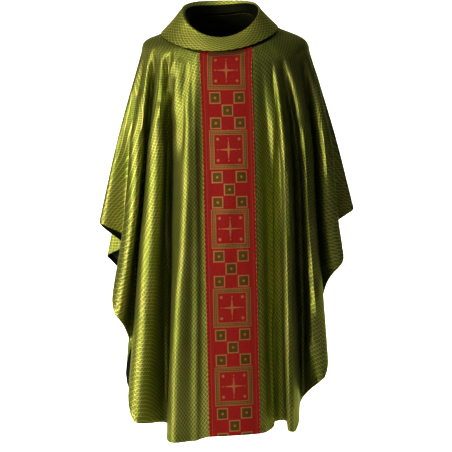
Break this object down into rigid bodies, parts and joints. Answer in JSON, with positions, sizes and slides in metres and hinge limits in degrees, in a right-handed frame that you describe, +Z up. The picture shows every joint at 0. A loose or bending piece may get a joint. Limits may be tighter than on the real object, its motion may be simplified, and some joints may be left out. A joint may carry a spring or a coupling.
{
  "type": "chasuble",
  "caption": "Wide full-length chasuble with a turned-over roll collar, hanging in deep folds as worn, with a woven band down the front and a dark lining.",
  "frame": {"origin": "seat on the neck and shoulders, midway between front and back at the height of the collar's front rim", "axes": "+Z up along the hanging cloth, -Y out of the front, +X to the right as seen from the front"},
  "size_m": [0.7624, 0.4394, 1.3234],
  "materials": {
    "brocade": "green and gold lattice brocade with a strong sheen",
    "orphrey": "red woven band with gold squares and crosses",
    "lining": "dark blue-grey lining cloth, softly matt"
  },
  "bodies": {
    "root": {"front_panel": "brocade", "back_panel": "brocade", "collar": "brocade", "front_orphrey": "orphrey", "front_lining": "lining", "back_lining": "lining"}
  },
  "joints": []
}
